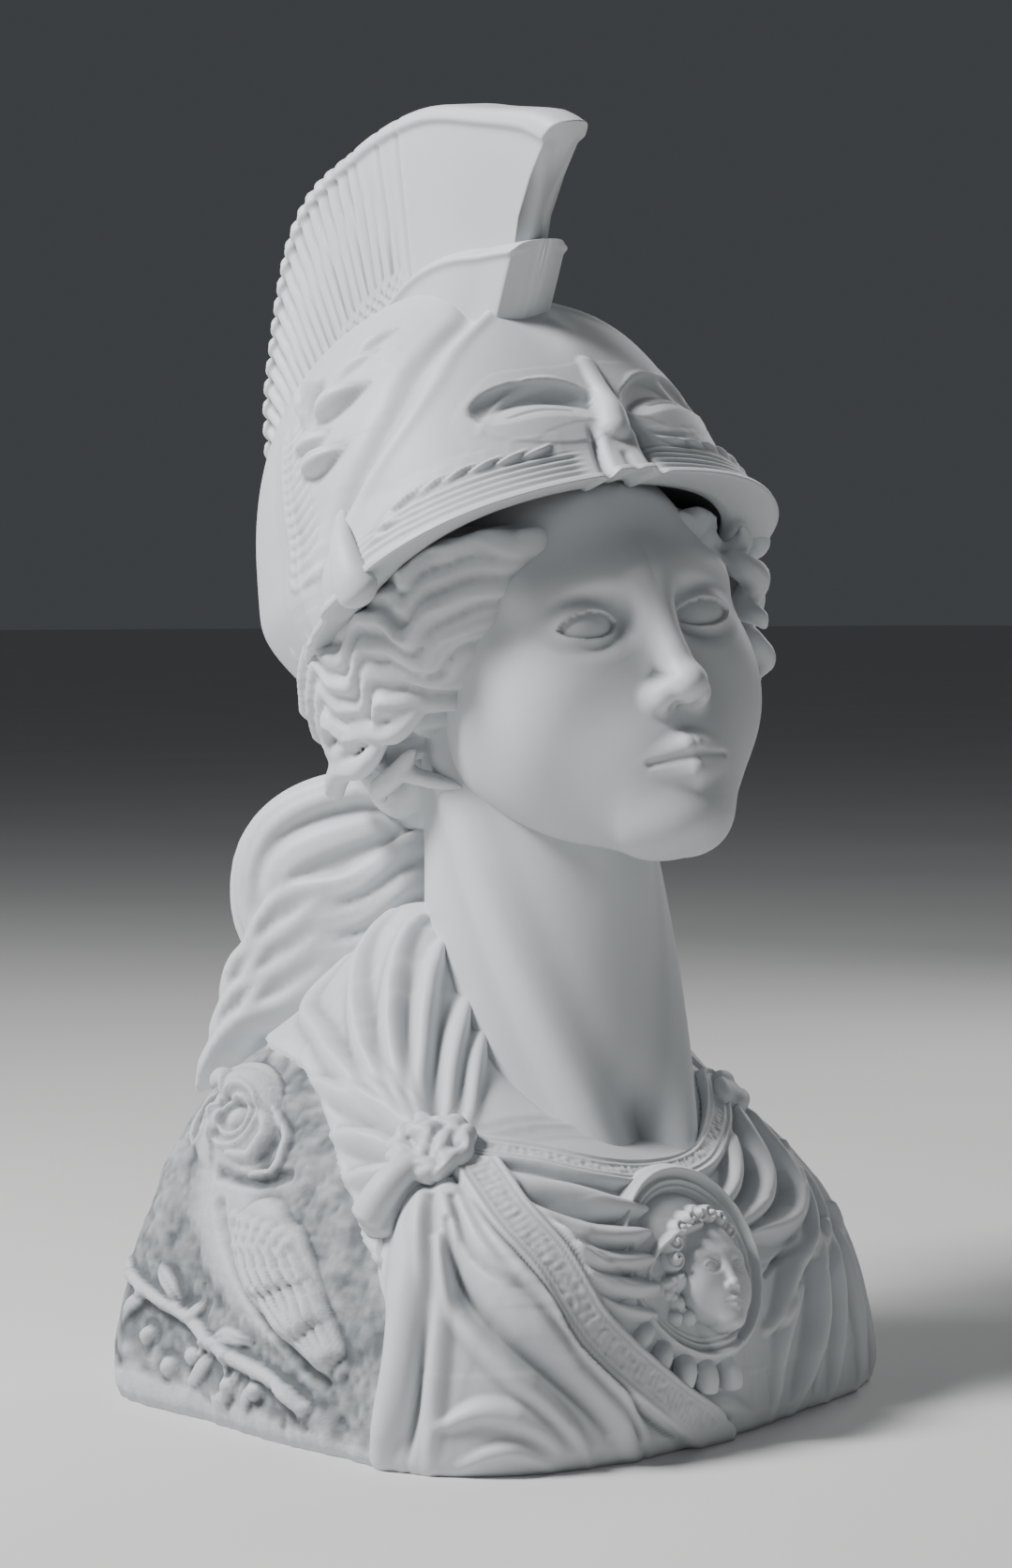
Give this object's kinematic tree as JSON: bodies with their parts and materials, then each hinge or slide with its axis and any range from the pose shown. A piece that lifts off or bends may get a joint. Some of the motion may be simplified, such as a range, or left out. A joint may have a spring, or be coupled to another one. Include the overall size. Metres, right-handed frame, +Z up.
{
  "type": "helmeted goddess bust statue",
  "caption": "Desk bust of a helmeted goddess with tall crest, waved hair, draped shoulders, medallion and an owl in relief, cut flat to stand on its own underside.",
  "frame": {"origin": "on the flat underside, below the neck", "axes": "+Z up, the chest faces -Y, her right arm is at -X"},
  "size_m": [0.2305, 0.2431, 0.4011],
  "materials": {
    "plaster": "matte cast plaster, cool grey white, lightly dusted in its recesses"
  },
  "bodies": {
    "root": {"athena_bust": "plaster"}
  },
  "joints": []
}
